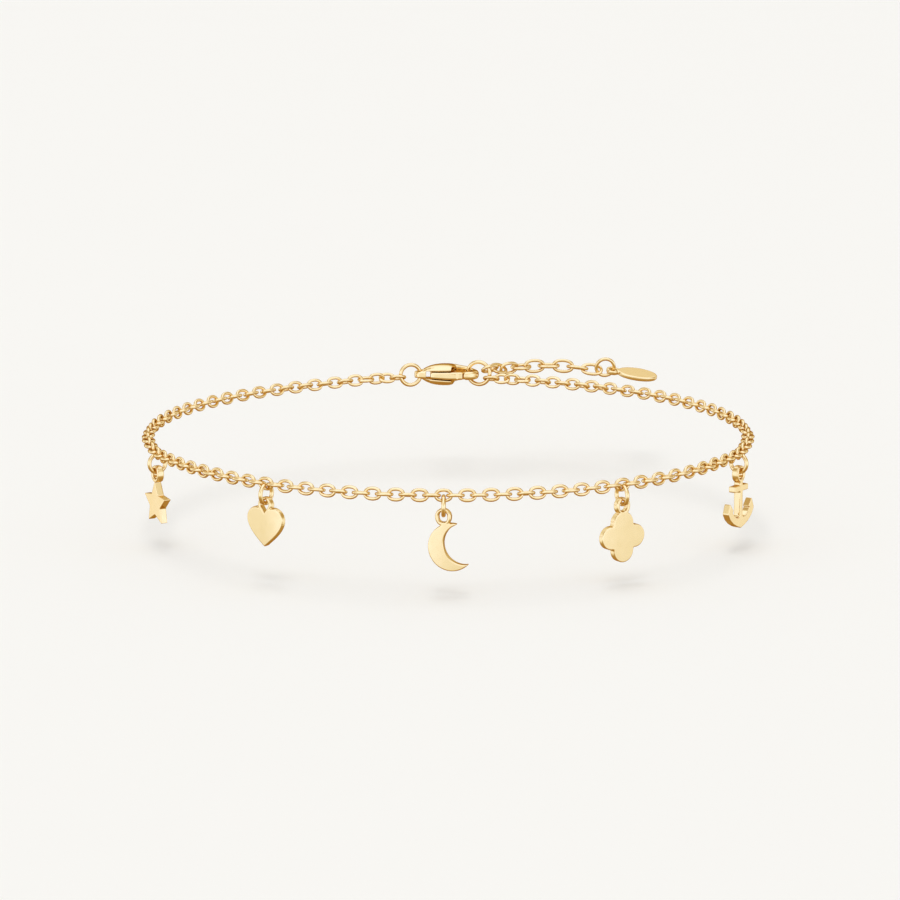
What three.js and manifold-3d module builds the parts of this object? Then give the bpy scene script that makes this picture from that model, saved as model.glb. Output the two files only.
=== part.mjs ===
// Charm anklet: a closed cable chain with five flat charms on jump rings, a lobster
// clasp with a sprung lever, and a short extender chain that ends in a plain oval tag.
//
// Millimetres, +Z up. The origin is the centre of the loop, where the ankle goes. The
// clasp is at the back (+Y) and the middle charm at the front (-Y). An angle round the
// loop is counted from the front, positive towards +X.
//
// The chain between two charms is one solid tube on the chain's true route; the links
// that carry something are real oval links.

import * as THREE from 'three';
import { mergeVertices } from 'three/addons/utils/BufferGeometryUtils.js';
import Module from 'manifold-3d';

const wasm = await Module();
wasm.setup();

// ---------------------------------------------------------------- driving dimensions

const LOOP_RADIUS = 37;            // chain centreline, a loop of about 232 mm

// Main chain: oval links of round wire.
const WIRE = 0.40;
const LINK_LENGTH = 2.22;          // outside, along the chain
const LINK_WIDTH = 1.66;           // outside, across
const CHAIN_TUBE = 1.60;           // the chain's outer diameter
const END_GAP = 0.30;              // between a tube's end and the link beside it

// Where the charms hang, and the two ends that meet the clasp, in degrees.
const STAR_AT = -72.90;
const HEART_AT = -35.53;
const MOON_AT = -0.83;
const CLOVER_AT = 33.70;
const ANCHOR_AT = 72.90;
const LEFT_END_AT = -169.80;
const RIGHT_END_AT = 171.25;

// The outer charms pull the chain down a little; the ends rise to the clasp.
const SAG = 0.20;
const SAG_REACH = 7;               // degrees
const LEFT_LIFT = 0.35;
const RIGHT_LIFT = 0.21;
const LIFT_REACH = 14;             // degrees

// Jump ring between a link and a charm.
const JUMP_WIRE = 0.50;
const JUMP_RADIUS = 1.10;          // to the middle of the wire
const JUMP_DROP = 1.25;            // ring centre below the chain's centreline

// Charms: flat plates with an eye at the top. Heights are from the chain's centreline.
const CHARM_THICKNESS = 0.92;
const HORN_ENDS = { upper: 1.60, lower: 3.00 };  // the moon's blunt horns, along x
const EYE = { z: -2.54, outerWidth: 1.94, outerHeight: 2.06, holeWidth: 1.04, holeHeight: 1.24 };

// Clasp, lying flat: x along it, y across it with the lever on the inner side (-y).
const CLASP_AT = new THREE.Vector3(0, 37.10, 0.66);
const HOOK_HALF_HEIGHT = 0.54;
const TAIL_HALF_HEIGHT = 0.45;
const TAIL = { x: -3.57, radius: 0.76, hole: 0.43 };
const PIN = { x: -1.20, y: -0.10, radius: 0.28, clearance: 0.08, halfHeight: 0.85 };
const TIP_RADIUS = 3.39;           // lever tip, from the pin
const NOSE_GAP = 0.12;
const HOOK_INSIDE = 0.95;          // the back of the hook's opening, along y
const WINDOW = { x: -2.61, z: 0.03, length: 0.55, height: 0.98 };  // the slot at the spring

// Rings at the clasp and at the tag: wire, radius to the wire's middle, centre, turn about
// the vertical and lean, both in degrees.
const CLASP_RING = { wire: 0.50, radius: 1.33, at: [-4.88, 36.81, 0.64], turn: 14, lean: 0 };
const END_RING = { wire: 0.50, radius: 1.475, at: [4.00, 36.95, 0.84], turn: -16, lean: 0 };
const TAG_RING = { wire: 0.45, radius: 1.175, at: [20.60, 41.62, 0.76], turn: 6, lean: 14 };

// Extender: larger links on a route that runs back from the end ring.
const EXTENDER_WIRE = 0.42;
const EXTENDER_LENGTH = 2.94;
const EXTENDER_WIDTH = 1.90;
const EXTENDER_TUBE = 1.70;
const EXTENDER_ROUTE = [
  [5.45, 37.00, 1.42],
  [6.75, 38.60, 1.15],
  [8.00, 39.85, 0.98],
  [10.80, 41.35, 0.95],
  [14.70, 41.90, 0.90],
  [18.85, 41.68, 0.47],
];

// Oval tag with its own eye.
const TAG = {
  thickness: 0.58, eye: 0.85, hole: 0.45, length: 5.24, width: 3.00, offset: 3.24,
  at: [21.62, 41.85, 0.24], slope: 8.5, tilt: 15,
};

// Facets: sides of a round wire, and steps round a ring or along a curve.
const WIRE_SIDES = 6;
const RING_STEPS = 24;
const LINK_STEPS = 20;
const TUBE_SIDES = 8;
const TUBE_STEP = 4;               // mm along the chain
const EXTENDER_STEP = 1.6;         // mm along the extender's tighter bend
const CURVE_STEPS = 10;

// ---------------------------------------------------------------- materials

const gold = (name, color, roughness) =>
  new THREE.MeshStandardMaterial({ name, color, roughness, metalness: 1 });

const CHAIN_GOLD = gold('chain_gold', 0xe8c67e, 0.22);
const CHARM_GOLD = gold('charm_gold', 0xf0d59c, 0.28);
const CLASP_GOLD = gold('clasp_gold', 0xecca86, 0.18);

// ---------------------------------------------------------------- small helpers

const radians = THREE.MathUtils.degToRad;

function toSolid(geometry) {
  const bare = geometry.clone();
  bare.deleteAttribute('normal');
  bare.deleteAttribute('uv');
  const merged = mergeVertices(bare, 1e-4);
  return new wasm.Manifold(new wasm.Mesh({
    numProp: 3,
    vertProperties: merged.attributes.position.array,
    triVerts: Uint32Array.from(merged.index.array),
  }));
}

function toGeometry(solid) {
  const mesh = solid.getMesh();
  const geometry = new THREE.BufferGeometry();
  geometry.setAttribute('position', new THREE.BufferAttribute(mesh.vertProperties, 3));
  geometry.setIndex(new THREE.BufferAttribute(mesh.triVerts, 1));
  geometry.computeVertexNormals();
  return geometry;
}

// A flat outline made solid, centred on z = 0.
function slab(outline, thickness) {
  const options = { depth: thickness, bevelEnabled: false, curveSegments: CURVE_STEPS };
  return new THREE.ExtrudeGeometry(outline, options).translate(0, 0, -thickness / 2);
}

// The same, stood up so that the outline is seen from the front.
const uprightSlab = (outline, thickness) => slab(outline, thickness).rotateX(Math.PI / 2);

function circle(x, y, radius) {
  return new THREE.Shape().absarc(x, y, radius, 0, 2 * Math.PI, false);
}

// An upright rounded slot, taller than it is wide.
function upright(x, y, width, height) {
  const radius = width / 2;
  const rise = height / 2 - radius;
  return new THREE.Shape()
    .absarc(x, y + rise, radius, 0, Math.PI, false)
    .absarc(x, y - rise, radius, Math.PI, 2 * Math.PI, false);
}

// Mirror a half outline, given from the top to the bottom at x >= 0, and close it.
function mirrored(half) {
  const other = half.filter(([x]) => x > 0).map(([x, y]) => [-x, y]).reverse();
  return new THREE.Shape([...half, ...other].reverse().map(([x, y]) => new THREE.Vector2(x, y)));
}

function torus(radius, wire) {
  return new THREE.TorusGeometry(radius, wire / 2, WIRE_SIDES, RING_STEPS);
}

// An oval link flat on XY, long along X: a ring whose two halves are moved apart.
function ovalLink(length, width, wire) {
  const geometry = new THREE.TorusGeometry((width - wire) / 2, wire / 2, WIRE_SIDES, LINK_STEPS);
  geometry.rotateZ(Math.PI / LINK_STEPS);
  const place = geometry.attributes.position;
  const apart = (length - width) / 2;
  for (let i = 0; i < place.count; i += 1) {
    place.setX(i, place.getX(i) + Math.sign(place.getX(i)) * apart);
  }
  return geometry;
}

// ---------------------------------------------------------------- the chain's route

function near(angle, centre, reach) {
  return Math.exp(-(((angle - centre) / reach) ** 2));
}

function chainHeight(angle) {
  const sag = SAG * (near(angle, STAR_AT, SAG_REACH) + near(angle, ANCHOR_AT, SAG_REACH));
  const left = LEFT_LIFT * near(angle, LEFT_END_AT, LIFT_REACH);
  const right = RIGHT_LIFT * near(angle, RIGHT_END_AT, LIFT_REACH);
  return left + right - sag;
}

function chainPoint(angle) {
  const turn = radians(angle);
  return new THREE.Vector3(
    LOOP_RADIUS * Math.sin(turn), -LOOP_RADIUS * Math.cos(turn), chainHeight(angle));
}

class ChainStretch extends THREE.Curve {
  constructor(from, to) {
    super();
    this.from = from;
    this.to = to;
  }

  getPoint(t, target = new THREE.Vector3()) {
    return target.copy(chainPoint(THREE.MathUtils.lerp(this.from, this.to, t)));
  }
}

function tube(curve, diameter, step = TUBE_STEP) {
  const section = new THREE.Shape();
  for (let i = 0; i < TUBE_SIDES; i += 1) {
    const turn = (2 * Math.PI * (i + 0.5)) / TUBE_SIDES;
    const x = (diameter / 2) * Math.cos(turn);
    const y = (diameter / 2) * Math.sin(turn);
    if (i === 0) section.moveTo(x, y);
    else section.lineTo(x, y);
  }
  const steps = Math.ceil(curve.getLength() / step);
  return new THREE.ExtrudeGeometry(section, { steps, extrudePath: curve, bevelEnabled: false });
}

// ---------------------------------------------------------------- charms

function eyePlate() {
  const plate = upright(0, EYE.z, EYE.outerWidth, EYE.outerHeight);
  return toSolid(uprightSlab(plate, CHARM_THICKNESS));
}

function eyeHole() {
  const hole = upright(0, EYE.z, EYE.holeWidth, EYE.holeHeight);
  return toSolid(uprightSlab(hole, 2 * CHARM_THICKNESS));
}

// A body outline joined to the common eye, with the eye's hole cut through both.
function charmWithEye(outline) {
  const body = toSolid(uprightSlab(outline, CHARM_THICKNESS));
  return toGeometry(body.add(eyePlate()).subtract(eyeHole()));
}

function starCharm() {
  const centre = -6.22;
  const point = 2.80;
  const waist = 1.38;
  const outline = new THREE.Shape();
  for (let i = 0; i < 10; i += 1) {
    const turn = Math.PI / 2 + (i * Math.PI) / 5;
    const radius = i % 2 === 0 ? point : waist;
    const x = radius * Math.cos(turn);
    const y = centre + radius * Math.sin(turn);
    if (i === 0) outline.moveTo(x, y);
    else outline.lineTo(x, y);
  }
  return charmWithEye(outline);
}

// The heart's bail is an arch that springs from both lobes and bridges the notch.
function heartCharm() {
  const notch = -3.50;
  const shoulder = -2.82;
  const tip = -7.56;
  const half = 2.62;
  const body = new THREE.Shape()
    .moveTo(0, notch)
    .bezierCurveTo(-0.35, shoulder - 0.2, -0.8, shoulder, -1.20, shoulder)
    .bezierCurveTo(-2.05, shoulder, -half, -3.60, -half, -4.25)
    .bezierCurveTo(-half, -5.55, -0.95, -6.75, 0, tip)
    .bezierCurveTo(0.95, -6.75, half, -5.55, half, -4.25)
    .bezierCurveTo(half, -3.60, 2.05, shoulder, 1.20, shoulder)
    .bezierCurveTo(0.8, shoulder, 0.35, shoulder - 0.2, 0, notch);
  const bail = upright(0, -2.54, 1.94, 1.98);
  const gap = new THREE.Shape()
    .moveTo(0, notch)
    .lineTo(0.55, -2.75)
    .absarc(0, -2.48, 0.56, 0, Math.PI, false)
    .lineTo(-0.55, -2.75);
  const plate = toSolid(uprightSlab(body, CHARM_THICKNESS))
    .add(toSolid(uprightSlab(bail, CHARM_THICKNESS)));
  return toGeometry(plate.subtract(toSolid(uprightSlab(gap, 2 * CHARM_THICKNESS))));
}

// A crescent: a disc less a smaller disc set towards the open side.
function moonCharm() {
  const centre = { x: 1.02, z: -6.10, radius: 2.85 };
  const bite = { radius: 2.44, shift: 1.52, rise: radians(16) };
  const disc = toSolid(uprightSlab(circle(centre.x, centre.z, centre.radius), CHARM_THICKNESS));
  const hollow = circle(
    centre.x + bite.shift * Math.cos(bite.rise),
    centre.z + bite.shift * Math.sin(bite.rise),
    bite.radius);
  const upperEnd = new THREE.BoxGeometry(4, 2, 6).translate(2 + HORN_ENDS.upper, 0, centre.z + 3);
  const lowerEnd = new THREE.BoxGeometry(4, 2, 6).translate(2 + HORN_ENDS.lower, 0, centre.z - 3);
  const crescent = disc.subtract(toSolid(uprightSlab(hollow, 2 * CHARM_THICKNESS)))
    .subtract(toSolid(upperEnd)).subtract(toSolid(lowerEnd));
  return toGeometry(crescent.add(eyePlate()).subtract(eyeHole()));
}

// Four round lobes round one centre.
function cloverCharm() {
  const centre = -6.26;
  const reach = 1.66;
  const lobe = 1.39;
  let body = toSolid(uprightSlab(circle(0, centre, reach), CHARM_THICKNESS));
  for (const [x, y] of [[reach, 0], [0, reach], [-reach, 0], [0, -reach]]) {
    body = body.add(toSolid(uprightSlab(circle(x, centre + y, lobe), CHARM_THICKNESS)));
  }
  return toGeometry(body.add(eyePlate()).subtract(eyeHole()));
}

// Shank, stock and two arms with pointed flukes; one half of the outline, mirrored.
function anchorCharm() {
  const shank = 0.32;
  const half = [
    [shank, -3.30],
    [shank, -3.94],
    [1.58, -3.94],
    [1.58, -4.68],
    [shank, -4.68],
    [shank, -7.72],
    [0.56, -7.92],
    [1.02, -7.84],
    [1.64, -7.42],
    [1.98, -7.00],
    [1.72, -6.88],
    [2.52, -5.88],
    [3.05, -7.14],
    [2.56, -7.92],
    [1.82, -8.52],
    [0.90, -8.97],
    [0, -9.26],
  ];
  return charmWithEye(mirrored(half));
}

// ---------------------------------------------------------------- clasp

// Half the clasp's height along its length: a long swelling over the lever, which the
// hook's back carries on past the opening.
const SWELLING = [
  [-4.40, 0.45], [-3.40, 0.62], [-2.80, 0.96], [-2.10, 1.21], [-1.20, 1.37], [0.10, 1.37],
];
const CHEEK_END = [[0.60, 1.24], [0.95, 0.70]];
const HOOK_BACK = [[0.90, 1.14], [1.40, 0.98], [2.40, 0.80], [3.30, 0.56]];

function profile(upper) {
  const points = [...upper, ...upper.map(([x, z]) => [x, -z]).reverse()];
  return new THREE.Shape(points.map(([x, z]) => new THREE.Vector2(x, z)));
}

function claspOutline() {
  return new THREE.Shape()
    .moveTo(0.90, -1.66)
    .bezierCurveTo(2.60, -1.74, 4.05, -1.45, 4.02, 0.10)
    .bezierCurveTo(4.00, 1.35, 2.60, 1.85, 1.10, 1.85)
    .bezierCurveTo(-1.00, 1.85, -2.50, 0.75, TAIL.x, TAIL.radius)
    .absarc(TAIL.x, 0, TAIL.radius, Math.PI / 2, 1.5 * Math.PI, false)
    .bezierCurveTo(-2.60, -0.75, -1.40, -1.62, 0.90, -1.66);
}

// The space between the cheeks: open to the front, closed by the spine at the back.
function leverSpace() {
  const noseFace = TIP_RADIUS + NOSE_GAP;
  const front = -2.30;
  const back = 0.85;
  const left = -2.35;
  const plan = new THREE.Shape()
    .moveTo(left, back)
    .lineTo(left, front)
    .absarc(PIN.x, PIN.y, noseFace, Math.asin((front - PIN.y) / noseFace),
      Math.asin((back - PIN.y) / noseFace), false);
  const height = profile([[left, 0.50], [0, 0.60], [2.6, 0.60]]);
  return toSolid(slab(plan, 3)).intersect(toSolid(uprightSlab(height, 8)));
}

function hookOpening() {
  const outline = new THREE.Shape()
    .moveTo(0.85, -0.75)
    .lineTo(2.45, -0.75)
    .bezierCurveTo(3.05, -0.75, 3.12, -0.30, 3.12, 0.10)
    .bezierCurveTo(3.12, 0.70, 2.60, HOOK_INSIDE, 1.90, HOOK_INSIDE)
    .lineTo(0.85, HOOK_INSIDE);
  return toSolid(slab(outline, 3));
}

function claspBody() {
  const plan = toSolid(slab(claspOutline(), 3));
  const cheeks = plan.intersect(toSolid(uprightSlab(profile([...SWELLING, ...CHEEK_END]), 8)));
  const behind = toSolid(new THREE.BoxGeometry(10, 2, 4).translate(0, 1 + HOOK_INSIDE, 0));
  const back = plan.intersect(toSolid(uprightSlab(profile([...SWELLING, ...HOOK_BACK]), 8)));
  const hook = toSolid(slab(claspOutline(), 2 * HOOK_HALF_HEIGHT));
  const tailTrim = toSolid(uprightSlab(
    profile([[-5, TAIL_HALF_HEIGHT], [TAIL.x, TAIL_HALF_HEIGHT]]), 8));
  const beyondTail = toSolid(new THREE.BoxGeometry(8, 6, 4).translate(4 + TAIL.x, 0, 0));
  const tailHole = toSolid(slab(circle(TAIL.x, 0, TAIL.hole), 3));
  const window = toSolid(new THREE.BoxGeometry(WINDOW.length, 8, WINDOW.height)
    .translate(WINDOW.x, 0, WINDOW.z));
  const pin = toSolid(slab(circle(PIN.x, PIN.y, PIN.radius), 2 * PIN.halfHeight));
  const whole = cheeks.add(hook).add(back.intersect(behind)).intersect(beyondTail.add(tailTrim));
  const cut = whole.subtract(tailHole).subtract(window).subtract(leverSpace());
  return toGeometry(cut.subtract(hookOpening()).add(pin));
}

function claspLever() {
  const tipOuter = Math.asin((-1.60 - PIN.y) / TIP_RADIUS);
  const tipInner = Math.asin((-0.88 - PIN.y) / TIP_RADIUS);
  const plan = new THREE.Shape()
    .moveTo(-2.27, -1.16)
    .bezierCurveTo(-1.30, -1.52, 0.20, -1.66,
      PIN.x + TIP_RADIUS * Math.cos(tipOuter), -1.60)
    .absarc(PIN.x, PIN.y, TIP_RADIUS, tipOuter, tipInner, false)
    .bezierCurveTo(1.20, -0.80, 0.40, 0.40, -0.90, 0.42)
    .lineTo(-1.60, 0.42)
    .bezierCurveTo(-1.95, 0.40, -2.20, 0.20, -2.24, -0.10);
  const height = profile([[-2.5, 0.40], [0, 0.50], [2.6, 0.50]]);
  const hole = toSolid(slab(circle(PIN.x, PIN.y, PIN.radius + PIN.clearance), 3));
  const bar = toSolid(slab(plan, 2)).intersect(toSolid(uprightSlab(height, 8)));
  return toGeometry(bar.subtract(hole));
}

// ---------------------------------------------------------------- tag

function tagPlate() {
  const oval = new THREE.Shape()
    .absellipse(TAG.offset, 0, TAG.length / 2, TAG.width / 2, 0, 2 * Math.PI, false, 0);
  const plate = toSolid(slab(oval, TAG.thickness)).add(toSolid(slab(circle(0, 0, TAG.eye), TAG.thickness)));
  return toGeometry(plate.subtract(toSolid(slab(circle(0, 0, TAG.hole), 2 * TAG.thickness))));
}

// ---------------------------------------------------------------- assembly

const anklet = new THREE.Group();

function add(name, geometry, material, parent = anklet) {
  const mesh = new THREE.Mesh(geometry, material);
  mesh.name = name;
  parent.add(mesh);
  return mesh;
}

// Chain links that carry something, upright unless twisted about their length.
function addChainLink(name, angle, twist) {
  const link = add(name, ovalLink(LINK_LENGTH, LINK_WIDTH, WIRE), CHAIN_GOLD);
  link.position.copy(chainPoint(angle));
  link.rotation.set(radians(twist), 0, radians(angle), 'ZYX');
}

// One carrying link, its jump ring and its charm, both turned about the vertical.
function addCharm(name, angle, ringTurn, charmTurn, geometry) {
  addChainLink(`${name}_link`, angle, 90);
  const hung = new THREE.Group();
  hung.position.copy(chainPoint(angle));
  anklet.add(hung);
  const ring = add(`${name}_ring`, torus(JUMP_RADIUS, JUMP_WIRE), CHAIN_GOLD, hung);
  ring.position.z = -JUMP_DROP;
  ring.rotation.set(0, Math.PI / 2, radians(ringTurn), 'ZYX');
  const charm = add(`${name}_charm`, geometry, CHARM_GOLD, hung);
  charm.rotation.z = radians(charmTurn);
}

function addChainRun(name, from, to) {
  const clear = THREE.MathUtils.radToDeg((LINK_LENGTH / 2 + END_GAP) / LOOP_RADIUS);
  add(name, tube(new ChainStretch(from + clear, to - clear), CHAIN_TUBE), CHAIN_GOLD);
}

function addUprightRing(name, { wire, radius, at, turn, lean }) {
  const ring = add(name, torus(radius, wire), CLASP_GOLD);
  ring.position.set(...at);
  ring.rotation.set(Math.PI / 2 + radians(lean), 0, radians(turn), 'ZYX');
}

function addExtender() {
  const route = new THREE.CatmullRomCurve3(EXTENDER_ROUTE.map((p) => new THREE.Vector3(...p)));
  const length = route.getLength();
  const clear = (EXTENDER_LENGTH / 2 + END_GAP) / length;
  const between = [];
  for (let i = 0; i <= 4; i += 1) {
    between.push(route.getPointAt(THREE.MathUtils.lerp(clear, 1 - clear, i / 4)));
  }
  const middle = new THREE.CatmullRomCurve3(between);
  add('extender_chain', tube(middle, EXTENDER_TUBE, EXTENDER_STEP), CHAIN_GOLD);
  for (const [name, t, twist] of [['extender_first_link', 0, -38], ['extender_last_link', 1, 46]]) {
    const along = route.getTangentAt(t);
    const link = add(name, ovalLink(EXTENDER_LENGTH, EXTENDER_WIDTH, EXTENDER_WIRE), CHAIN_GOLD);
    link.position.copy(route.getPointAt(t));
    link.rotation.set(radians(twist), -Math.asin(along.z), Math.atan2(along.y, along.x), 'ZYX');
  }
}

const charms = [
  ['star', STAR_AT, -59, -59, starCharm()],
  ['heart', HEART_AT, -35.5, -35.5, heartCharm()],
  ['moon', MOON_AT, -1, -15, moonCharm()],
  ['clover', CLOVER_AT, 33.5, 33.5, cloverCharm()],
  ['anchor', ANCHOR_AT, 56, 56, anchorCharm()],
];
for (const charm of charms) addCharm(...charm);

const stops = [
  ['chain_back_left', LEFT_END_AT, STAR_AT],
  ['chain_star_to_heart', STAR_AT, HEART_AT],
  ['chain_heart_to_moon', HEART_AT, MOON_AT],
  ['chain_moon_to_clover', MOON_AT, CLOVER_AT],
  ['chain_clover_to_anchor', CLOVER_AT, ANCHOR_AT],
  ['chain_back_right', ANCHOR_AT, RIGHT_END_AT],
];
for (const [name, from, to] of stops) addChainRun(name, from, to);
addChainLink('left_end_link', LEFT_END_AT, 25);
addChainLink('right_end_link', RIGHT_END_AT, 25);

addUprightRing('clasp_ring', CLASP_RING);
add('clasp_body', claspBody(), CLASP_GOLD).position.copy(CLASP_AT);
add('clasp_lever', claspLever(), CLASP_GOLD).position.copy(CLASP_AT);
addUprightRing('end_ring', END_RING);
addExtender();
addUprightRing('tag_ring', TAG_RING);

const tag = add('tag', tagPlate(), CHARM_GOLD);
tag.position.set(...TAG.at);
tag.rotation.set(radians(TAG.tilt), radians(TAG.slope), 0, 'ZYX');

export default anklet;
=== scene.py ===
"""Charm anklet in polished yellow gold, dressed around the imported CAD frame.

Lengths are in millimetres and become metres where a mesh is made. The loop's centre is the
origin, the clasp is at the back (+Y), and an angle round the loop is counted from the front
(-Y), positive towards +X. Wire pieces are swept along their paths. Cast pieces, such as the
charms and the clasp, are signed distance fields whose zero surface becomes a mesh.
"""

import math

import bpy
import numpy as np
from mathutils import Euler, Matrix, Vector


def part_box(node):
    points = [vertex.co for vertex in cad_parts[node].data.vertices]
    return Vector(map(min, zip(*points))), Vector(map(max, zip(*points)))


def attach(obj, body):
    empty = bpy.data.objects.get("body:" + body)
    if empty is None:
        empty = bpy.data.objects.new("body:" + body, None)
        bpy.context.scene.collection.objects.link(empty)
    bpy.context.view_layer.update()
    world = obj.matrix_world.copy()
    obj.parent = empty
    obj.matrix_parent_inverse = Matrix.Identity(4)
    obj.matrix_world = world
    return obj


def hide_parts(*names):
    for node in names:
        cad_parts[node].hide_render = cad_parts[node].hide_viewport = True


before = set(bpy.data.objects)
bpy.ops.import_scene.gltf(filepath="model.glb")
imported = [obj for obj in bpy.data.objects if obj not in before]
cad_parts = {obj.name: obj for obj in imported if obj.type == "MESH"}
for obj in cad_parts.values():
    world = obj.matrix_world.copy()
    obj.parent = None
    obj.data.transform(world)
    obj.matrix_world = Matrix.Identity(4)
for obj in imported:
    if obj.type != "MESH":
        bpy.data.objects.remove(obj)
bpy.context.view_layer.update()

MM = 0.001
ROOT = "anklet"

# ---------------------------------------------------------------- driving dimensions

# Main chain. The lean is in degrees, and a fullness of 2 makes an exact ellipse.
WIRE = 0.40
LINK_LENGTH = 2.22
LINK_WIDTH = 1.66
LINK_LEAN = {"front": -13, "back": 27}
LINK_STEPS = 44
LINK_SIDES = 14
LINK_FULLNESS = 2.2

# How the chain's height changes along the loop; reaches are in degrees.
SAG = 0.20
SAG_REACH = 7
LEFT_LIFT = 0.35
RIGHT_LIFT = 0.21
LIFT_REACH = 14

# Steps from one carrying link to the next, and the twist of the last links at the clasp.
CHARM_STEPS = {"moon": 16, "star": 18}
LEFT_STEPS = 44
RIGHT_STEPS = 46
END_TWISTS = (25, -42, 74, -9)

# Jump rings and charms. A charm's face falls away from its middle by its drop at DOME_REACH
# to either side, by the DOME_UPRIGHT share of that above and below, and by DOME_MOST drops
# at most. The sides, depth and margin bound the space where a charm's surface is found.
JUMP_WIRE = 0.50
JUMP_RADIUS = 1.10
CHARM_THICKNESS = 0.92
CHARM_EDGE = 0.11
EYE_EDGE = 0.21
EYE_HEIGHT = -2.54
EYE_OUTSIDE = (1.94, 2.06)
EYE_HOLE = (1.04, 1.24)
CHARM_TURNS = {"star": -59, "heart": -35.5, "moon": -15, "clover": 33.5, "anchor": 56}
RING_TURNS = {**CHARM_TURNS, "moon": -1}
HORN_ENDS = (1.60, 3.00)
DOME_REACH = 2.9
DOME_UPRIGHT = 0.15
DOME_MOST = 1.1
CHARM_SIDE = 3.3
MOON_SIDE = 4.1
CHARM_DEPTH = 0.60
MARGIN = 0.15

# Rings at the clasp and the tag: wire, radius, turn about the vertical and lean, in degrees.
CLASP_RING = (0.50, 1.33, 14, 0)
END_RING = (0.50, 1.475, -16, 0)
TAG_RING = (0.45, 1.175, 6, 14)

# Extender: nine larger links, the twist of each, and their route back from the end ring.
EXTENDER_WIRE = 0.42
EXTENDER_LENGTH = 2.94
EXTENDER_WIDTH = 1.90
EXTENDER_TWISTS = (-38, 40, -70, 8, 90, 2, 92, -14, 46)
EXTENDER_ROUTE = (
    (5.45, 37.00, 1.42),
    (6.75, 38.60, 1.15),
    (8.00, 39.85, 0.98),
    (10.80, 41.35, 0.95),
    (14.70, 41.90, 0.90),
    (18.85, 41.68, 0.47),
)

# Tag
TAG_AT = (21.62, 41.85, 0.24)
TAG_THICKNESS = 0.58
TAG_EYE = (0.85, 0.45)
TAG_OVAL = (5.24, 3.00)
TAG_OFFSET = 3.24
TAG_SLOPE = 8.5
TAG_TILT = 15
TAG_EDGE = 0.18

# Clasp
CLASP_AT = (0, 37.10, 0.66)
HOOK_HALF_HEIGHT = 0.54
TAIL_AT = -3.57
TAIL_RADIUS = 0.76
TAIL_HOLE = 0.43
PIN_AT = (-1.20, -0.10)
PIN_RADIUS = 0.28
PIN_HALF_HEIGHT = 0.85
PIN_CLEARANCE = 0.08
TIP_RADIUS = 3.39
NOSE_GAP = 0.12
CHEEK_POWER = 2.8
HOOK_POWERS = {"inside": 6.0, "outside": 2.4}
HOOK_LEAN = 0.32
WINDOW = {"x": -2.61, "z": 0.03, "half_length": 0.20, "half_height": 0.42, "corner": 0.07}
LEVER_EDGE = 0.26
LEVER_GROOVE = {"x": 1.20, "y": -1.66, "radius": 0.13}

# Size of a cell where a cast piece's surface is found
CHARM_CELL = 0.04
CLASP_CELL = 0.04

# Colours: the gold's two tones and its tint at grazing angles, and the paper's two tones
LIGHT_GOLD = (0.925, 0.735, 0.400)
DEEP_GOLD = (0.905, 0.710, 0.370)
RIM_GOLD = (0.66, 0.43, 0.17)
PAPER_DARK = (0.894, 0.881, 0.841)
PAPER_LIGHT = (0.898, 0.885, 0.845)

# Studio; the floor's reach is in metres
FLOOR_DROP = 11.85
FLOOR_REACH = 6.0
CAMERA_ELEVATION = 11.14
CAMERA_DISTANCE = 661
CAMERA_LENS = 213.9
CAMERA_SENSOR = 36
AIM_DOWN = 1.95
AIM_RIGHT = 0.235

# Strip light, in metres and watts
STRIP_AT = (-0.35, 0.0, 4.5)
STRIP_SIZE = (1.5, 5.4)
STRIP_POWER = 78

# What the metal mirrors: brightness by height (0 straight down, 1 straight up), patches over
# it as azimuth from the front, elevation, inner and outer reach in degrees and brightness,
# and the colour of each brightness. The paper gets an even glow instead.
STUDIO_GRADIENT = (
    (0.0, 0.20), (0.22, 0.32), (0.31, 0.52), (0.38, 0.885), (0.50, 0.97), (0.67, 0.90),
    (0.77, 0.82), (0.86, 0.97), (1.0, 1.0),
)
STUDIO_PATCHES = (
    (180, -18, 28, 52, 0.38),
    (100, 32, 12, 32, 0.34),
    (-95, 40, 10, 28, 0.38),
    (119, -9, 9, 26, 0.92),
    (-120, -9, 9, 26, 0.96),
    (-50, 2, 10, 28, 1.0),
    (46, 2, 10, 28, 1.0),
    (0, 14, 2, 9, 0.45),
    (-34, 48, 12, 26, 1.0),
)
STUDIO_TONES = (
    (0.00, (0.16, 0.06, 0.006)),
    (0.15, (0.40, 0.18, 0.02)),
    (0.35, (0.56, 0.40, 0.17)),
    (0.55, (0.70, 0.61, 0.46)),
    (0.75, (0.86, 0.81, 0.70)),
    (0.88, (0.98, 0.98, 0.96)),
    (1.00, (1.24, 1.33, 1.66)),
)
STUDIO_STRENGTH = 1.7
PAPER_GLOW = 0.72


# ---------------------------------------------------------------- materials

def nodes_of(material):
    material.use_nodes = True
    tree = material.node_tree
    return tree, tree.nodes, tree.links


def pattern(tree, scale, detail, stretch=(1, 1, 1)):
    """Noise fixed to the piece's own coordinates; scale is in features a millimetre."""
    place = tree.nodes.new("ShaderNodeTexCoord")
    mapping = tree.nodes.new("ShaderNodeMapping")
    mapping.inputs["Scale"].default_value = stretch
    noise = tree.nodes.new("ShaderNodeTexNoise")
    noise.inputs["Scale"].default_value = scale / MM
    noise.inputs["Detail"].default_value = detail
    tree.links.new(place.outputs["Object"], mapping.inputs["Vector"])
    tree.links.new(mapping.outputs["Vector"], noise.inputs["Vector"])
    return noise.outputs["Fac"]


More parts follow.
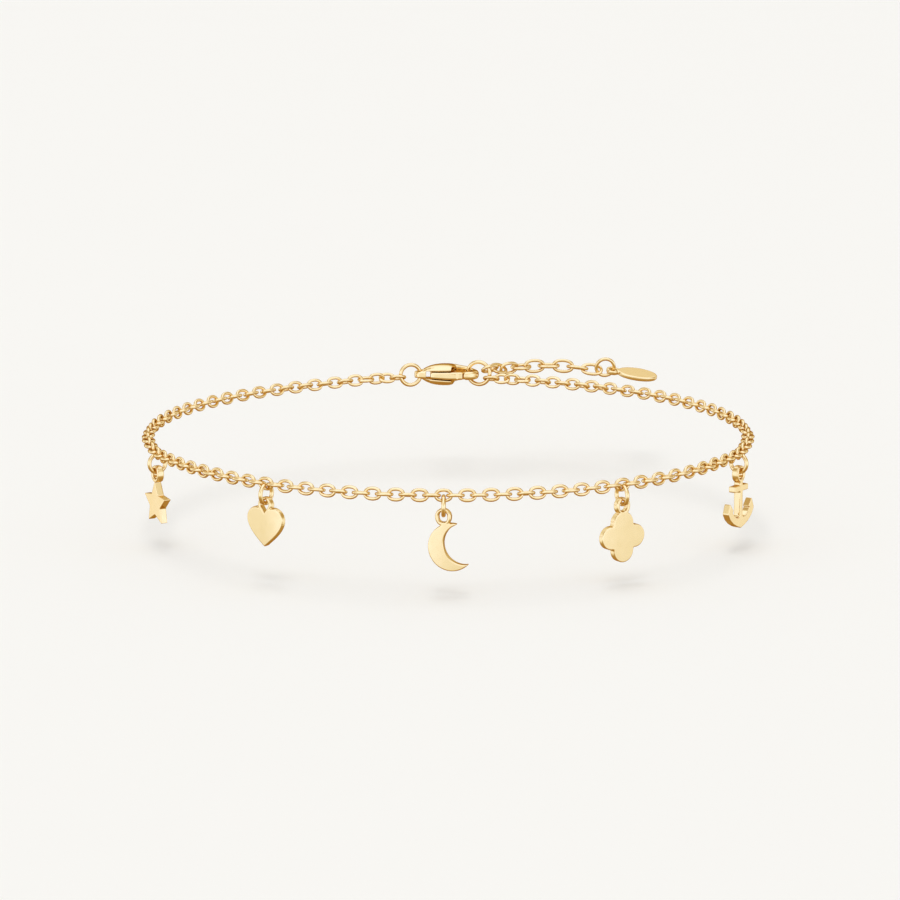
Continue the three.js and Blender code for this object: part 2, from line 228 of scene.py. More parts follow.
def spread(tree, value, low, high):
    """A noise value moved to the range low..high."""
    remap = tree.nodes.new("ShaderNodeMapRange")
    remap.inputs["From Min"].default_value = 0.3
    remap.inputs["From Max"].default_value = 0.7
    remap.inputs["To Min"].default_value = low
    remap.inputs["To Max"].default_value = high
    tree.links.new(value, remap.inputs["Value"])
    return remap.outputs["Result"]


def polished_gold(name, light, deep, roughness, scratch):
    """Polished gold: slight colour drift, uneven polish and fine hairline scratches."""
    material = bpy.data.materials.new(name)
    tree, nodes, links = nodes_of(material)
    shader = nodes["Principled BSDF"]
    shader.inputs["Metallic"].default_value = 1.0
    shader.inputs["Specular Tint"].default_value = (*RIM_GOLD, 1)

    drift = nodes.new("ShaderNodeValToRGB")
    drift.color_ramp.elements[0].position = 0.35
    drift.color_ramp.elements[0].color = (*deep, 1)
    drift.color_ramp.elements[1].position = 0.65
    drift.color_ramp.elements[1].color = (*light, 1)
    links.new(pattern(tree, 0.9, 3), drift.inputs["Fac"])
    links.new(drift.outputs["Color"], shader.inputs["Base Color"])

    polish = pattern(tree, 2.2, 4)
    links.new(spread(tree, polish, *roughness), shader.inputs["Roughness"])

    hairlines = nodes.new("ShaderNodeBump")
    hairlines.inputs["Strength"].default_value = scratch
    hairlines.inputs["Distance"].default_value = 0.01 * MM
    links.new(pattern(tree, 3.0, 6, (1, 1, 9)), hairlines.inputs["Height"])
    links.new(hairlines.outputs["Normal"], shader.inputs["Normal"])
    return material


GOLD = {
    "chain": polished_gold("chain_gold", LIGHT_GOLD, DEEP_GOLD, (0.05, 0.10), 0.03),
    "rings": polished_gold("ring_gold", LIGHT_GOLD, DEEP_GOLD, (0.05, 0.09), 0.03),
    "charms": polished_gold("charm_gold", LIGHT_GOLD, DEEP_GOLD, (0.09, 0.14), 0.02),
    "clasp": polished_gold("clasp_gold", LIGHT_GOLD, DEEP_GOLD, (0.05, 0.09), 0.03),
}


def floor_material():
    material = bpy.data.materials.new("paper_floor")
    tree, nodes, links = nodes_of(material)
    shader = nodes["Principled BSDF"]
    shader.inputs["Roughness"].default_value = 0.9
    shader.inputs["Specular IOR Level"].default_value = 0.1
    tone = nodes.new("ShaderNodeValToRGB")
    tone.color_ramp.elements[0].color = (*PAPER_DARK, 1)
    tone.color_ramp.elements[1].color = (*PAPER_LIGHT, 1)
    links.new(pattern(tree, 0.05, 2), tone.inputs["Fac"])
    links.new(tone.outputs["Color"], shader.inputs["Base Color"])
    return material


# ---------------------------------------------------------------- making pieces

def as_mesh(name, vertices, faces):
    mesh = bpy.data.meshes.new(name)
    mesh.from_pydata((np.asarray(vertices) * MM).tolist(), [], np.asarray(faces).tolist())
    mesh.shade_smooth()
    mesh.update()
    return mesh


def add_piece(node, vertices, faces, slot, body=ROOT):
    """A finished piece that stands for one CAD node and rides on its body."""
    piece = bpy.data.objects.new(f"{node}_gold", as_mesh(node, vertices, faces))
    bpy.context.scene.collection.objects.link(piece)
    piece.data.materials.append(GOLD[slot])
    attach(piece, body)
    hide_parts(node)
    return piece


def centre_of(node):
    """Middle of a CAD node's box."""
    low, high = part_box(node)
    return np.array((low + high) / 2) / MM


def turned(points, x=0.0, y=0.0, z=0.0):
    """Points turned about X, then Y, then Z, in degrees."""
    turn = Euler([math.radians(angle) for angle in (x, y, z)], "XYZ").to_matrix()
    return np.asarray(points) @ np.array(turn).T


def joined(parts):
    """Several (vertices, faces) as one."""
    vertices, faces, used = [], [], 0
    for points, polygons in parts:
        vertices.append(points)
        faces.append(polygons + used)
        used += len(points)
    return np.concatenate(vertices), np.concatenate(faces)


# ---------------------------------------------------------------- wire pieces

def swept_loop(path, wire, sides):
    """A round wire along a closed path that lies in XY."""
    steps = len(path)
    along = np.roll(path, -1, axis=0) - np.roll(path, 1, axis=0)
    along /= np.linalg.norm(along, axis=1)[:, None]
    across = np.stack([along[:, 1], -along[:, 0], np.zeros(steps)], axis=1)
    turn = np.arange(sides) * 2 * math.pi / sides
    outward = across[:, None, :] * np.cos(turn)[None, :, None]
    upward = np.array([0, 0, 1])[None, None, :] * np.sin(turn)[None, :, None]
    vertices = path[:, None, :] + wire / 2 * (outward + upward)
    ring, side = np.meshgrid(np.arange(steps), np.arange(sides), indexing="ij")
    after, beside = (ring + 1) % steps, (side + 1) % sides
    faces = np.stack([
        ring * sides + side,
        after * sides + side,
        after * sides + beside,
        ring * sides + beside,
    ], axis=-1)
    return vertices.reshape(-1, 3), faces.reshape(-1, 4)


def oval_link(length, width, wire, steps=LINK_STEPS, sides=LINK_SIDES):
    """An oval link flat on XY, long along X."""
    turn = np.arange(steps) * 2 * math.pi / steps
    power = 2 / LINK_FULLNESS
    x = np.sign(np.cos(turn)) * np.abs(np.cos(turn)) ** power * (length - wire) / 2
    y = np.sign(np.sin(turn)) * np.abs(np.sin(turn)) ** power * (width - wire) / 2
    return swept_loop(np.stack([x, y, np.zeros(steps)], axis=1), wire, sides)


def round_ring(radius, wire, steps=96, sides=24):
    """A round ring of wire flat on XY."""
    turn = np.arange(steps) * 2 * math.pi / steps
    path = np.stack([radius * np.cos(turn), radius * np.sin(turn), np.zeros(steps)], axis=1)
    return swept_loop(path, wire, sides)


# ---------------------------------------------------------------- cast pieces

def surface(field, low, cell):
    """The closed quad mesh where a grid of signed values passes zero."""
    cells = np.array(field.shape) - 1
    total = np.zeros((cells.prod(), 3))
    count = np.zeros(cells.prod())
    quads = []
    for axis in range(3):
        first = [slice(None)] * 3
        second = [slice(None)] * 3
        first[axis] = slice(0, -1)
        second[axis] = slice(1, None)
        near, far = field[tuple(first)], field[tuple(second)]
        edges = np.argwhere((near < 0) != (far < 0))
        a, b = near[tuple(edges.T)], far[tuple(edges.T)]
        points = edges.astype(float)
        points[:, axis] += a / (a - b)
        u, v = (axis + 1) % 3, (axis + 2) % 3
        around = []
        for back_u, back_v in ((0, 0), (1, 0), (1, 1), (0, 1)):
            cell_at = edges.copy()
            cell_at[:, u] -= back_u
            cell_at[:, v] -= back_v
            flat = np.ravel_multi_index(tuple(cell_at.T), cells)
            np.add.at(total, flat, points)
            np.add.at(count, flat, 1)
            around.append(flat)
        quad = np.stack(around, axis=1)
        quads.append(np.where((a < 0)[:, None], quad, quad[:, ::-1]))
    used = np.flatnonzero(count)
    number = np.zeros(len(count), int)
    number[used] = np.arange(len(used))
    vertices = np.array(low) + cell * total[used] / count[used, None]
    return vertices, number[np.concatenate(quads)]


def cast(field, low, high, cell):
    """The surface of field(x, y, z) inside a box."""
    axes = [np.arange(a, b + cell, cell) for a, b in zip(low, high)]
    x, y, z = np.meshgrid(*axes, indexing="ij", sparse=True)
    values = np.broadcast_to(field(x, y, z), [len(axis) for axis in axes])
    return surface(values, low, cell)


def polygon_distance(x, y, points):
    """Signed distance to a closed outline, negative inside."""
    points = np.asarray(points, float)
    nearest = np.full(np.broadcast(x, y).shape, np.inf)
    inside = np.zeros(nearest.shape, bool)
    for (ax, ay), (bx, by) in zip(points, np.roll(points, -1, axis=0)):
        length = (bx - ax) ** 2 + (by - ay) ** 2
        if length == 0:
            continue
        share = np.clip(((x - ax) * (bx - ax) + (y - ay) * (by - ay)) / length, 0, 1)
        away = (x - ax - share * (bx - ax)) ** 2 + (y - ay - share * (by - ay)) ** 2
        nearest = np.minimum(nearest, away)
        if ay != by:
            crosses = ((ay > y) != (by > y)) & (x < ax + (y - ay) * (bx - ax) / (by - ay))
            inside ^= crosses
    return np.where(inside, -1, 1) * np.sqrt(nearest)


def circle_distance(x, y, at, radius):
    return np.hypot(x - at[0], y - at[1]) - radius


def slot_distance(x, y, height_at, width, height):
    """An upright rounded slot."""
    rise = (height - width) / 2
    up = y - height_at
    return np.hypot(x, up - np.clip(up, -rise, rise)) - width / 2


def box_distance(offsets):
    """From a box, given as how far the point is past its faces along each axis."""
    beyond = np.sqrt(sum(np.maximum(offset, 0) ** 2 for offset in offsets))
    deepest = offsets[0]
    for offset in offsets[1:]:
        deepest = np.maximum(deepest, offset)
    return beyond + np.minimum(deepest, 0)


def blended(a, b, reach):
    """Union of two fields with a fillet of about that reach."""
    mix = np.clip(0.5 + 0.5 * (b - a) / reach, 0, 1)
    return b + (a - b) * mix - reach * mix * (1 - mix)


def carved(a, b, reach):
    """Field a less field b, with a rounded edge."""
    return -blended(-a, b, reach)


def plate(outline, z, thickness, edge, fall=0):
    """A plate of a plan outline field; its edges are rounded and its faces drop by a fall."""
    return box_distance([outline + edge, np.abs(z) - thickness / 2 + edge + fall]) - edge


def dome(x, y, centre, reach, drop):
    """How far a slightly domed face has dropped from its middle."""
    away = (x - centre[0]) ** 2 + DOME_UPRIGHT * (y - centre[1]) ** 2
    return drop * away / reach ** 2


def bezier(start, *controls, steps=14):
    """Points on a cubic curve, without its first."""
    share = np.linspace(0, 1, steps + 1)[1:, None]
    a, b, c, d = (np.array(point, float) for point in (start, *controls))
    keep = 1 - share
    return keep ** 3 * a + 3 * keep ** 2 * share * b + 3 * keep * share ** 2 * c + share ** 3 * d


def path_of(start, *curves):
    """An outline that starts at a point and runs along cubic curves or straight lines."""
    points = [np.array([start], float)]
    for curve in curves:
        if len(curve) == 1:
            points.append(np.array(curve, float))
        else:
            points.append(bezier(points[-1][-1], *curve))
    return np.concatenate(points)


def softened(points, cut, steps=5):
    """An outline whose corners are cut back by that length and rounded."""
    points = np.asarray(points, float)
    result = []
    behind, beyond = np.roll(points, 1, axis=0), np.roll(points, -1, axis=0)
    for before, corner, after in zip(behind, points, beyond):
        back, ahead = before - corner, after - corner
        start = corner + back * min(cut / np.linalg.norm(back), 0.5)
        end = corner + ahead * min(cut / np.linalg.norm(ahead), 0.5)
        for share in np.linspace(0, 1, steps + 1):
            keep = 1 - share
            result.append(keep ** 2 * start + 2 * share * keep * corner + share ** 2 * end)
    return np.array(result)


def arc(x, y, radius, start, end, steps=24):
    turn = np.radians(np.linspace(start, end, steps + 1))
    return np.stack([x + radius * np.cos(turn), y + radius * np.sin(turn)], axis=1)


def mirrored(half):
    """A half outline from top to bottom at x >= 0, closed with its mirror image."""
    half = np.array(half, float)
    other = half[half[:, 0] > 0][::-1] * (-1, 1)
    return np.concatenate([half, other])


# ---------------------------------------------------------------- the chain

def angle_of(node):
    """Degrees round the loop, from the front."""
    x, y, _ = centre_of(node)
    return math.degrees(math.atan2(x, -y))


STOPS = {name: angle_of(f"{name}_link") for name in (*CHARM_TURNS, "left_end", "right_end")}
LOOP_RADIUS = float(np.hypot(*centre_of("moon_link")[:2]))


def near(angle, centre, reach):
    return math.exp(-(((angle - centre) / reach) ** 2))


def chain_height(angle):
    sag = SAG * (near(angle, STOPS["star"], SAG_REACH) + near(angle, STOPS["anchor"], SAG_REACH))
    left = LEFT_LIFT * near(angle, STOPS["left_end"], LIFT_REACH)
    right = RIGHT_LIFT * near(angle, STOPS["right_end"], LIFT_REACH)
    return left + right - sag


def chain_point(angle):
    turn = math.radians(angle)
    return np.array([LOOP_RADIUS * math.sin(turn), -LOOP_RADIUS * math.cos(turn), chain_height(angle)])


def chain_slope(angle):
    """Degrees that the chain climbs along its length."""
    ahead, back = chain_height(angle + 0.5), chain_height(angle - 0.5)
    return math.degrees(math.atan2(ahead - back, LOOP_RADIUS * math.radians(1)))


LINK = oval_link(LINK_LENGTH, LINK_WIDTH, WIRE)


def placed_link(angle, twist):
    vertices, faces = LINK
    return turned(vertices, twist, -chain_slope(angle), angle) + chain_point(angle), faces


def settle(angle, step):
    """How far a link hangs off square, in degrees: outward, and never quite the same twice."""
    uneven = 4.0 * math.sin(2.4 * step) + 2.5 * math.sin(5.1 * step + 1.0)
    towards_back = (1 - math.cos(math.radians(angle))) / 2
    return uneven + LINK_LEAN["front"] + (LINK_LEAN["back"] - LINK_LEAN["front"]) * towards_back


def add_stretch(node, start, end, steps, twists=None):
    """The links strictly between two stops, upright and flat by turns."""
    twists = twists or {}
    links = []
    for step in range(1, steps):
        angle = start + (end - start) * step / steps
        square = 90 if step % 2 == 0 else 0
        links.append(placed_link(angle, twists.get(step, square + settle(angle, step))))
    add_piece(node, *joined(links), "chain")


def add_chain():
    between = [
        ("chain_star_to_heart", "star", "heart", CHARM_STEPS["star"]),
        ("chain_heart_to_moon", "heart", "moon", CHARM_STEPS["moon"]),
        ("chain_moon_to_clover", "moon", "clover", CHARM_STEPS["moon"]),
        ("chain_clover_to_anchor", "clover", "anchor", CHARM_STEPS["star"]),
    ]
    for node, start, end, steps in between:
        add_stretch(node, STOPS[start], STOPS[end], steps)
    near_end = {place: twist for place, twist in enumerate(END_TWISTS) if place}
    add_stretch("chain_back_left", STOPS["left_end"], STOPS["star"], LEFT_STEPS, near_end)
    add_stretch("chain_back_right", STOPS["right_end"], STOPS["anchor"], RIGHT_STEPS, near_end)
    for name in CHARM_TURNS:
        add_piece(f"{name}_link", *placed_link(STOPS[name], 90), "chain")
    for name in ("left_end", "right_end"):
        add_piece(f"{name}_link", *placed_link(STOPS[name], END_TWISTS[0]), "chain")


# ---------------------------------------------------------------- charms

def eye(x, y):
    return slot_distance(x, y, EYE_HEIGHT, *EYE_OUTSIDE)


def eye_hole(x, y):
    return slot_distance(x, y, EYE_HEIGHT, *EYE_HOLE)


def edge_radius(y):
    """Charms have crisp edges, and an eye that is almost as round as wire."""
    share = np.clip((y - EYE_HEIGHT + 0.95) / 0.45, 0, 1)
    return CHARM_EDGE + (EYE_EDGE - CHARM_EDGE) * share


def star_outline(x, y):
    centre, point, waist = -6.22, 2.80, 1.38
    corners = []
    for step in range(10):
        turn = math.pi / 2 + step * math.pi / 5
        radius = waist if step % 2 else point
        corners.append((radius * math.cos(turn), centre + radius * math.sin(turn)))
    star = polygon_distance(x, y, softened(corners, 0.14))
    return carved(blended(star, eye(x, y), 0.12), eye_hole(x, y), 0.01)


def heart_outline(x, y):
    notch, shoulder, tip, half = -3.50, -2.82, -7.56, 2.62
    body = path_of(
        (0, notch),
        ((-0.35, shoulder - 0.2), (-0.8, shoulder), (-1.20, shoulder)),
        ((-2.05, shoulder), (-half, -3.60), (-half, -4.25)),
        ((-half, -5.55), (-0.95, -6.75), (0, tip)),
        ((0.95, -6.75), (half, -5.55), (half, -4.25)),
        ((half, -3.60), (2.05, shoulder), (1.20, shoulder)),
        ((0.8, shoulder), (0.35, shoulder - 0.2), (0, notch)),
    )
    gap = np.concatenate([[(0, notch)], arc(0, -2.48, 0.56, -24, 204)])
    solid = blended(polygon_distance(x, y, body), circle_distance(x, y, (0, -2.55), 0.98), 0.10)
    return carved(solid, polygon_distance(x, y, gap), 0.01)


def moon_outline(x, y):
    centre, radius = (1.02, -6.10), 2.85
    bite, shift, rise = 2.44, 1.52, math.radians(16)
    hollow = (centre[0] + shift * math.cos(rise), centre[1] + shift * math.sin(rise))
    crescent = carved(
        circle_distance(x, y, centre, radius), circle_distance(x, y, hollow, bite), 0.05)
    horn_end = x - np.where(y > centre[1], HORN_ENDS[0], HORN_ENDS[1])
    crescent = carved(crescent, -horn_end, 0.10)
    return carved(blended(crescent, eye(x, y), 0.16), eye_hole(x, y), 0.01)


def clover_outline(x, y):
    centre, reach, lobe = -6.26, 1.66, 1.39
    body = circle_distance(x, y, (0, centre), reach)
    for side, up in ((1, 0), (0, 1), (-1, 0), (0, -1)):
        leaf = circle_distance(x, y, (reach * side, centre + reach * up), lobe)
        body = blended(body, leaf, 0.36)
    return carved(blended(body, eye(x, y), 0.14), eye_hole(x, y), 0.01)


def anchor_outline(x, y):
    shank = 0.32
    half = [
        (shank, -3.30), (shank, -3.94), (1.58, -3.94), (1.58, -4.68), (shank, -4.68),
        (shank, -7.72), (0.56, -7.92), (1.02, -7.84), (1.64, -7.42), (1.98, -7.00),
        (1.72, -6.88), (2.52, -5.88), (3.05, -7.14), (2.56, -7.92), (1.82, -8.52),
        (0.90, -8.97), (0, -9.26),
    ]
    body = polygon_distance(x, y, softened(mirrored(half), 0.16))
    return carved(blended(body, eye(x, y), 0.10), eye_hole(x, y), 0.01)


# Each charm's outline, the middle of its dome (x, y) and the dome's drop
CHARMS = {
    "star": (star_outline, 0, -6.22, 0.02),
    "heart": (heart_outline, 0, -5.00, 0.15),
    "moon": (moon_outline, 1.02, -6.10, 0.12),
    "clover": (clover_outline, 0, -6.26, 0.07),
    "anchor": (anchor_outline, 0, -6.50, 0.02),
}


def add_charm(name):
    outline, middle_x, middle_y, drop = CHARMS[name]
    low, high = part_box(f"{name}_charm")
    link = chain_point(STOPS[name])
    side = MOON_SIDE if name == "moon" else CHARM_SIDE
    bottom = low.z / MM - link[2] - MARGIN
    top = high.z / MM - link[2] + MARGIN

    def field(x, y, z):
        fall = dome(x, y, (middle_x, middle_y), DOME_REACH, drop)
        fall = np.minimum(fall, DOME_MOST * drop)
        return plate(outline(x, y), z, CHARM_THICKNESS, edge_radius(y), fall)

    vertices, faces = cast(
        field, (-side, bottom, -CHARM_DEPTH), (side, top, CHARM_DEPTH), CHARM_CELL)
    upright = turned(vertices, 90, 0, CHARM_TURNS[name])
    add_piece(f"{name}_charm", upright + link, faces, "charms")


def add_jump_ring(name):
    """The ring between a link and its charm."""
    vertices, faces = round_ring(JUMP_RADIUS, JUMP_WIRE)
    radial = turned(vertices, 0, 90, RING_TURNS[name])
    add_piece(f"{name}_ring", radial + centre_of(f"{name}_ring"), faces, "rings")


def add_charms():
    for name in CHARM_TURNS:
        add_jump_ring(name)
        add_charm(name)


# ---------------------------------------------------------------- clasp

def clasp_outline():
    return np.concatenate([
        path_of(
            (0.90, -1.66),
            ((2.60, -1.74), (4.05, -1.45), (4.02, 0.10)),
            ((4.00, 1.35), (2.60, 1.85), (1.10, 1.85)),
            ((-1.00, 1.85), (-2.50, 0.75), (TAIL_AT, TAIL_RADIUS)),
        ),
        arc(TAIL_AT, 0, TAIL_RADIUS, 90, 270)[1:],
        bezier((TAIL_AT, -TAIL_RADIUS), (-2.60, -0.75), (-1.40, -1.62), (0.90, -1.66)),
    ])


def hook_opening(x, y):
    outline = path_of(
        (0.85, -0.75),
        ((2.45, -0.75),),
        ((3.05, -0.75), (3.12, -0.30), (3.12, 0.10)),
        ((3.12, 0.70), (2.60, 0.95), (1.90, 0.95)),
        ((0.85, 0.95),),
    )
    return polygon_distance(x, y, outline)


def cheek_height(x):
    """Half the clasp's height where the cheeks cover the lever."""
    places = (-4.40, -3.70, -3.30, -2.80, -2.25, -1.75, -1.20, -0.60, 0.10, 0.55, 0.85, 1.05)
    heights = (0.38, 0.46, 0.66, 0.96, 1.17, 1.29, 1.36, 1.39, 1.37, 1.26, 1.08, 0.85)
    return np.interp(x, places, heights)


def hook_height(x, y):
    """Half the hook's height: low at the nose, tall where it leaves the cheeks at the back."""
    back = np.clip((y - 0.05) / 1.0, 0, 1)
    tall = np.interp(x, (0.90, 1.40, 2.40, 3.00, 3.60), (1.12, 1.00, 0.84, 0.66, 0.54))
    return HOOK_HALF_HEIGHT + (tall - HOOK_HALF_HEIGHT) * back * back * (3 - 2 * back)


def cross_section(outline, x):
    """Middle and half width of an outline across each x."""
    xs = x.ravel()
    points = np.concatenate([outline, outline[:1]])
    low, high = np.full(xs.shape, np.inf), np.full(xs.shape, -np.inf)
    for (ax, ay), (bx, by) in zip(points, points[1:]):
        if ax == bx:
            continue
        share = (xs - ax) / (bx - ax)
        at = np.where((share >= 0) & (share <= 1), ay + share * (by - ay), np.nan)
        low, high = np.fmin(low, at), np.fmax(high, at)
    found = np.isfinite(low)
    middle = np.where(found, (low + high) / 2, 0)
    half = np.where(found, (high - low) / 2, 0.05)
    return middle.reshape(x.shape), np.maximum(half, 0.05).reshape(x.shape)


def rounded(across, half_width, up, half_height, power):
    """1 on a rounded section's edge and less inside; a higher power is squarer."""
    return (np.abs(across / half_width) ** power + np.abs(up / half_height) ** power) ** (1 / power)


def clasp_body_field(x, y, z):
    outline = clasp_outline()
    outside = polygon_distance(x, y, outline)
    lean = HOOK_LEAN * np.abs(z) * np.clip(y / 0.8, 0, 1)
    opening = hook_opening(x, y)

    middle, half = cross_section(outline, x)
    height = cheek_height(x)
    shell = rounded(y - middle, half, z, height, CHEEK_POWER)
    cheek_end = 0.34 + 0.24 * (y + 1.6)  # the cheeks end on a slant
    cheeks = np.maximum(np.maximum((shell - 1) * np.minimum(half, height), x - cheek_end), outside)

    to_outside, to_opening = -outside, np.maximum(opening, 0)
    band = np.maximum((to_outside + to_opening) / 2, 0.05)
    off = (to_outside - to_opening) / 2
    rise = hook_height(x, y)
    power = np.where(off > 0, HOOK_POWERS["inside"], HOOK_POWERS["outside"])
    hook = rounded(off, band, z, rise, power) - 1
    hook = np.maximum(hook * np.minimum(band, rise), outside)

    body = blended(cheeks, hook, 0.22)
    nose_face = TIP_RADIUS + NOSE_GAP
    room = np.interp(x, (-2.35, 0), (0.50, 0.60))
    lever_space = box_distance([
        y - 0.85,
        -2.35 - x,
        circle_distance(x, y, PIN_AT, nose_face),
        np.abs(z) - room,
    ])
    body = carved(body, lever_space, 0.24)
    body = carved(body, opening + lean, 0.08)
    window = box_distance([
        np.abs(x - WINDOW["x"]) - WINDOW["half_length"],
        np.abs(z - WINDOW["z"]) - WINDOW["half_height"],
        y - 8,
    ]) - WINDOW["corner"]
    body = carved(body, window, 0.08)
    body = carved(body, circle_distance(x, y, (TAIL_AT, 0), TAIL_HOLE), 0.10)
    pin = box_distance([circle_distance(x, y, PIN_AT, PIN_RADIUS), np.abs(z) - PIN_HALF_HEIGHT])
    return np.minimum(body, pin)


def lever_outline():
    tip_outer = math.degrees(math.asin((-1.60 - PIN_AT[1]) / TIP_RADIUS))
    tip_inner = math.degrees(math.asin((-0.88 - PIN_AT[1]) / TIP_RADIUS))
    tip = arc(*PIN_AT, TIP_RADIUS, tip_outer, tip_inner, 6)
    return np.concatenate([
        path_of((-2.27, -1.16), ((-1.30, -1.52), (0.20, -1.66), tuple(tip[0]))),
        tip[1:],
        path_of(
            tuple(tip[-1]),
            ((1.20, -0.80), (0.40, 0.40), (-0.90, 0.42)),
            ((-1.60, 0.42),),
            ((-1.95, 0.40), (-2.20, 0.20), (-2.24, -0.10)),
        )[1:],
    ])


def lever_field(x, y, z):
    plan = polygon_distance(x, y, lever_outline())
    half_height = np.interp(x, (-2.5, 0), (0.40, 0.50))
    bar = box_distance([plan + LEVER_EDGE, np.abs(z) - half_height + LEVER_EDGE]) - LEVER_EDGE
    groove_at = (LEVER_GROOVE["x"], LEVER_GROOVE["y"])
    groove = circle_distance(x, y, groove_at, LEVER_GROOVE["radius"])
    bar = carved(bar, groove, 0.02)
    return np.maximum(bar, -circle_distance(x, y, PIN_AT, PIN_RADIUS + PIN_CLEARANCE))


def add_clasp():
    vertices, faces = cast(clasp_body_field, (-4.6, -2.0, -1.5), (4.2, 2.1, 1.5), CLASP_CELL)
    add_piece("clasp_body", vertices + CLASP_AT, faces, "clasp")
    vertices, faces = cast(lever_field, (-2.5, -1.9, -0.6), (2.4, 0.7, 0.6), CLASP_CELL)
    add_piece("clasp_lever", vertices + CLASP_AT, faces, "clasp", "lever")


def add_upright_ring(node, wire, radius, turn, lean):
    """A ring that stands on edge, at its CAD node's middle."""
    vertices, faces = round_ring(radius, wire)
    add_piece(node, turned(vertices, 90 + lean, 0, turn) + centre_of(node), faces, "rings")


# ---------------------------------------------------------------- extender and tag

def smooth_route(points, steps=40):
    """A smooth line through the points, with each point on it."""
    points = np.array(points, float)
    padded = np.concatenate([[2 * points[0] - points[1]], points, [2 * points[-1] - points[-2]]])
    line = []
    for a, b, c, d in zip(padded, padded[1:], padded[2:], padded[3:]):
        for share in np.arange(steps) / steps:
            line.append(0.5 * (
                2 * b + (c - a) * share + (2 * a - 5 * b + 4 * c - d) * share ** 2
                + (3 * b - a - 3 * c + d) * share ** 3))
    return np.array([*line, points[-1]])


def add_extender():
    line = smooth_route(EXTENDER_ROUTE)
    length = np.concatenate([[0], np.cumsum(np.linalg.norm(np.diff(line, axis=0), axis=1))])
    slope = np.gradient(line, length, axis=0)
    link, link_faces = oval_link(EXTENDER_LENGTH, EXTENDER_WIDTH, EXTENDER_WIRE)
    placed = []
    for share, twist in zip(np.linspace(0, 1, len(EXTENDER_TWISTS)), EXTENDER_TWISTS):
        at = [np.interp(share * length[-1], length, line[:, k]) for k in range(3)]
        along = [np.interp(share * length[-1], length, slope[:, k]) for k in range(3)]
        climb = math.degrees(math.asin(along[2] / np.linalg.norm(along)))
        heading = math.degrees(math.atan2(along[1], along[0]))
        placed.append((turned(link, twist, -climb, heading) + at, link_faces))
    add_piece("extender_first_link", *placed[0], "chain")
    add_piece("extender_chain", *joined(placed[1:-1]), "chain")
    add_piece("extender_last_link", *placed[-1], "chain")


def tag_field(x, y, z):
    oval = np.hypot((x - TAG_OFFSET) / (TAG_OVAL[0] / 2), y / (TAG_OVAL[1] / 2))
    slopes = np.hypot((x - TAG_OFFSET) / (TAG_OVAL[0] / 2) ** 2, y / (TAG_OVAL[1] / 2) ** 2)
    oval = (oval - 1) * oval / np.maximum(slopes, 1e-3)
    plan = blended(oval, circle_distance(x, y, (0, 0), TAG_EYE[0]), 0.25)
    plan = carved(plan, circle_distance(x, y, (0, 0), TAG_EYE[1]), 0.01)
    return plate(plan, z, TAG_THICKNESS, TAG_EDGE)


def add_tag():
    vertices, faces = cast(tag_field, (-1.0, -1.7, -0.4), (5.9, 1.7, 0.4), CHARM_CELL)
    add_piece("tag", turned(vertices, TAG_TILT, TAG_SLOPE, 0) + TAG_AT, faces, "charms")


# ---------------------------------------------------------------- studio

def add_floor():
    mesh = bpy.data.meshes.new("floor")
    height = -FLOOR_DROP * MM
    corners = [(FLOOR_REACH * x, FLOOR_REACH * y) for x, y in ((-1, -1), (1, -1), (1, 1), (-1, 1))]
    mesh.from_pydata([(x, y, height) for x, y in corners], [], [(0, 1, 2, 3)])
    mesh.materials.append(floor_material())
    floor = bpy.data.objects.new("floor", mesh)
    bpy.context.scene.collection.objects.link(floor)
    floor.visible_glossy = False


def add_overhead():
    """A long strip light high above, which gives the faint soft shadow."""
    light = bpy.data.lights.new("overhead", "AREA")
    light.shape = "RECTANGLE"
    light.size, light.size_y = STRIP_SIZE
    light.energy = STRIP_POWER
    lamp = bpy.data.objects.new("overhead", light)
    lamp.location = STRIP_AT
    lamp.rotation_euler = (0, math.atan2(STRIP_AT[0], STRIP_AT[2]), 0)
    lamp.visible_glossy = False
    bpy.context.scene.collection.objects.link(lamp)


def studio_level(tree, direction):
    """How bright the studio is in a direction: a vertical gradient, then patches over it."""
    split = tree.nodes.new("ShaderNodeSeparateXYZ")
    height = tree.nodes.new("ShaderNodeMapRange")
    height.inputs["From Min"].default_value = -1
    gradient = tree.nodes.new("ShaderNodeValToRGB")
    set_stops(gradient.color_ramp, [(at, (level,) * 3) for at, level in STUDIO_GRADIENT])
    tree.links.new(direction, split.inputs["Vector"])
    tree.links.new(split.outputs["Z"], height.inputs["Value"])
    tree.links.new(height.outputs["Result"], gradient.inputs["Fac"])
    level = gradient.outputs["Color"]
    for azimuth, elevation, inner, outer, target in STUDIO_PATCHES:
        turn, rise = math.radians(azimuth), math.radians(elevation)
        aim = (math.cos(rise) * math.sin(turn), -math.cos(rise) * math.cos(turn), math.sin(rise))
        closeness = tree.nodes.new("ShaderNodeVectorMath")
        closeness.operation = "DOT_PRODUCT"
        closeness.inputs[1].default_value = aim
        edge = tree.nodes.new("ShaderNodeMapRange")
        edge.interpolation_type = "SMOOTHSTEP"
        edge.inputs["From Min"].default_value = math.cos(math.radians(outer))
        edge.inputs["From Max"].default_value = math.cos(math.radians(inner))
        cover = tree.nodes.new("ShaderNodeMix")
        cover.inputs["B"].default_value = target
        tree.links.new(direction, closeness.inputs[0])
        tree.links.new(closeness.outputs["Value"], edge.inputs["Value"])
        tree.links.new(edge.outputs["Result"], cover.inputs["Factor"])
        tree.links.new(level, cover.inputs["A"])
        level = cover.outputs["Result"]
    return level


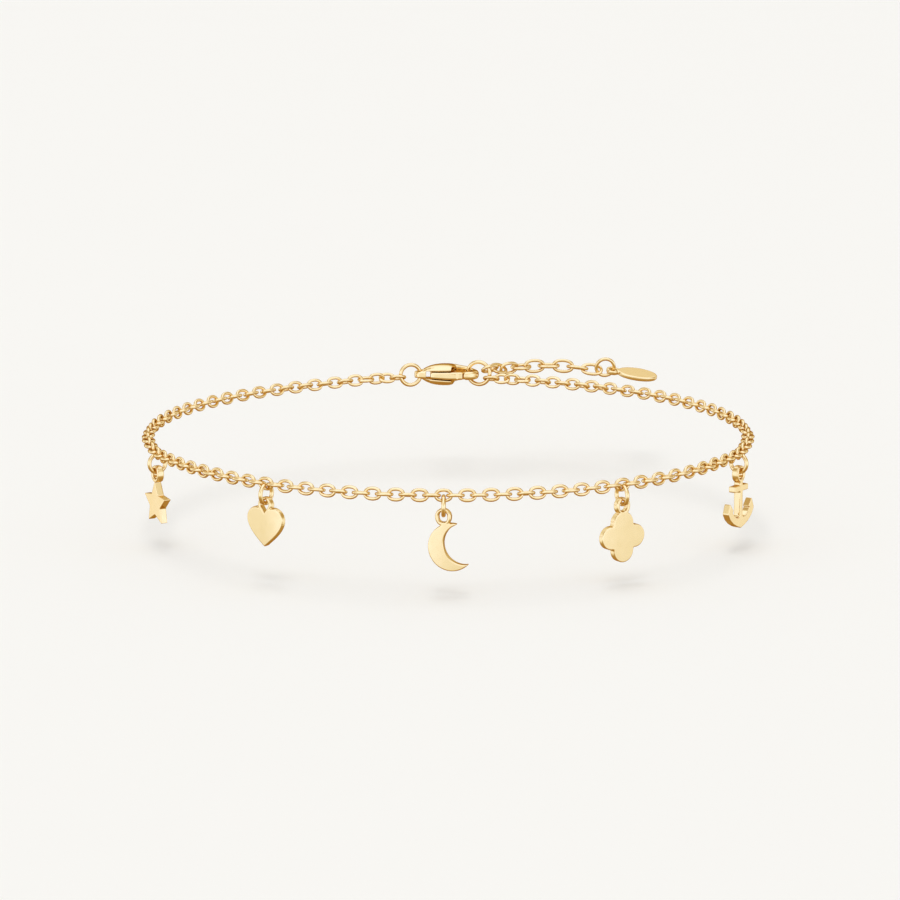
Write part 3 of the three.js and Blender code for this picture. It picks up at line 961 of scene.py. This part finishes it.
def set_stops(ramp, stops):
    while len(ramp.elements) < len(stops):
        ramp.elements.new(0.5)
    for element, (position, colour) in zip(ramp.elements, stops):
        element.position = position
        element.color = (*colour, 1)


def add_surroundings():
    """The studio that the metal mirrors, with an even pale glow for the paper below."""
    world = bpy.data.worlds.new("studio")
    bpy.context.scene.world = world
    world.use_nodes = True
    tree, links = world.node_tree, world.node_tree.links
    place = tree.nodes.new("ShaderNodeTexCoord")
    tones = tree.nodes.new("ShaderNodeValToRGB")
    set_stops(tones.color_ramp, [
        (at, [part / STUDIO_STRENGTH for part in colour]) for at, colour in STUDIO_TONES])
    links.new(studio_level(tree, place.outputs["Generated"]), tones.inputs["Fac"])
    path = tree.nodes.new("ShaderNodeLightPath")
    choose = tree.nodes.new("ShaderNodeMix")
    choose.data_type = "RGBA"
    choose.inputs["B"].default_value = (*[PAPER_GLOW / STUDIO_STRENGTH] * 3, 1)
    links.new(path.outputs["Is Diffuse Ray"], choose.inputs["Factor"])
    links.new(tones.outputs["Color"], choose.inputs["A"])
    background = tree.nodes["Background"]
    background.inputs["Strength"].default_value = STUDIO_STRENGTH
    links.new(choose.outputs["Result"], background.inputs["Color"])


def add_camera():
    camera = bpy.data.cameras.new("camera")
    camera.lens = CAMERA_LENS
    camera.sensor_width = CAMERA_SENSOR
    camera.clip_start, camera.clip_end = 0.01, 20
    holder = bpy.data.objects.new("camera", camera)
    bpy.context.scene.collection.objects.link(holder)
    rise = math.radians(CAMERA_ELEVATION)
    back = Vector((0, -math.cos(rise), math.sin(rise)))
    up = Vector((0, math.sin(rise), math.cos(rise)))
    holder.location = back * CAMERA_DISTANCE * MM
    aim = (Vector((AIM_RIGHT, 0, 0)) - up * AIM_DOWN) * MM
    holder.rotation_euler = (aim - holder.location).to_track_quat("-Z", "Y").to_euler()
    bpy.context.scene.camera = holder


add_chain()
add_charms()
add_upright_ring("clasp_ring", *CLASP_RING)
add_clasp()
add_upright_ring("end_ring", *END_RING)
add_extender()
add_upright_ring("tag_ring", *TAG_RING)
add_tag()

add_floor()
add_surroundings()
add_overhead()
add_camera()
bpy.context.scene.view_settings.view_transform = "Standard"
